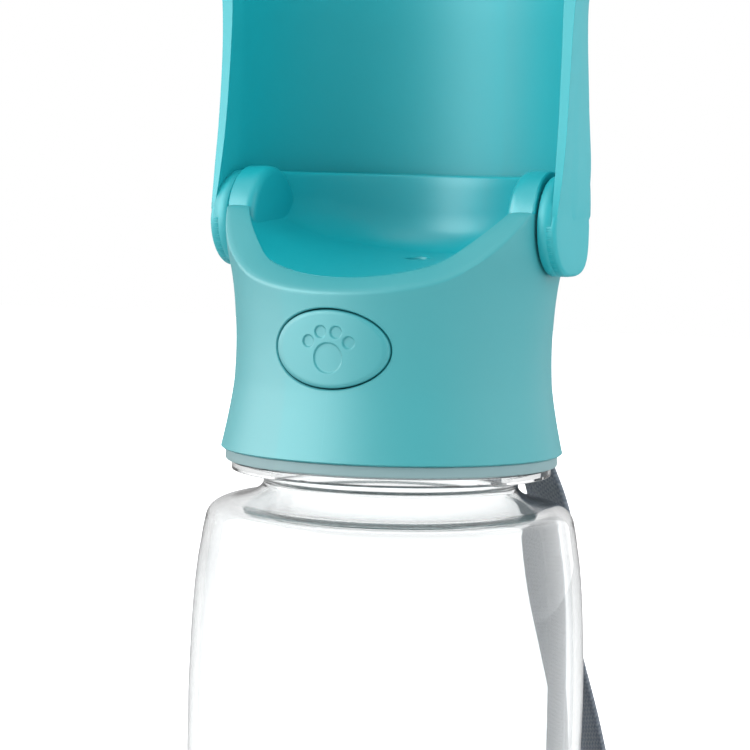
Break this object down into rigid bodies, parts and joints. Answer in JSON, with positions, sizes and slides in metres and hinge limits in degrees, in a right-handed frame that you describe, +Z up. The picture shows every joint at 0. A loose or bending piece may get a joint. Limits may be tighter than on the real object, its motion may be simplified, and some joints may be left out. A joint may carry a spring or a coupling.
{
  "type": "dog travel water bottle",
  "caption": "Clear water bottle with a screw-off head, a push-button valve, a drinking saddle, a trough that folds down over the bottle, and a carry strap.",
  "frame": {"origin": "middle of the bottle's flat base", "axes": "+Z up along the bottle, -Y towards the button and the open side of the trough, X along the trough's hinge"},
  "size_m": [0.092, 0.0851, 0.3346],
  "materials": {
    "clear_plastic": "clear and glossy",
    "turquoise_plastic": "satin",
    "grey_plastic": "matte",
    "white_plastic": "matte",
    "silicone": "soft matte",
    "dark_rubber": "soft matte",
    "steel": "bright",
    "webbing": "woven"
  },
  "bodies": {
    "bottle": {"bottle": "clear_plastic"},
    "seal": {"mouth_gasket": "silicone"},
    "head": {"threaded_liner": "grey_plastic", "head_shell": "turquoise_plastic", "dish": "turquoise_plastic", "friction_washer_left": "dark_rubber", "friction_washer_right": "dark_rubber", "valve_housing": "white_plastic", "valve_cap": "white_plastic", "cap_seal": "dark_rubber", "stem_seal": "dark_rubber", "seal_retainer": "white_plastic", "return_spring": "steel", "outlet_gasket": "silicone", "inlet_gasket": "silicone", "valve_screws": "steel", "carry_strap": "webbing"},
    "button": {"button": "turquoise_plastic", "valve_stem": "white_plastic", "valve_plug": "silicone"},
    "trough": {"trough": "turquoise_plastic"}
  },
  "joints": [
    {"name": "head_rise", "type": "slide", "parent": "bottle", "child": "seal", "axis": [0, 0, 1], "range_m": [0, 0.012]},
    {"name": "head_turn", "type": "hinge", "parent": "seal", "child": "head", "pos_m": [0, 0, 0.15], "axis": [0, 0, 1], "range_deg": [0, 1080]},
    {"name": "button_press", "type": "slide", "parent": "head", "child": "button", "axis": [0, 1, 0], "range_m": [0, 0.003], "stiffness_N_per_m": 1450, "springref_m": -0.002, "deforming": ["return_spring"]},
    {"name": "trough_fold", "type": "hinge", "parent": "head", "child": "trough", "pos_m": [0, 0, 0.1846], "axis": [1, 0, 0], "range_deg": [0, 180]}
  ],
  "couplings": [
    {"joint": "head_rise", "follows": "head_turn", "m_per_rad": 0.00063661}
  ]
}
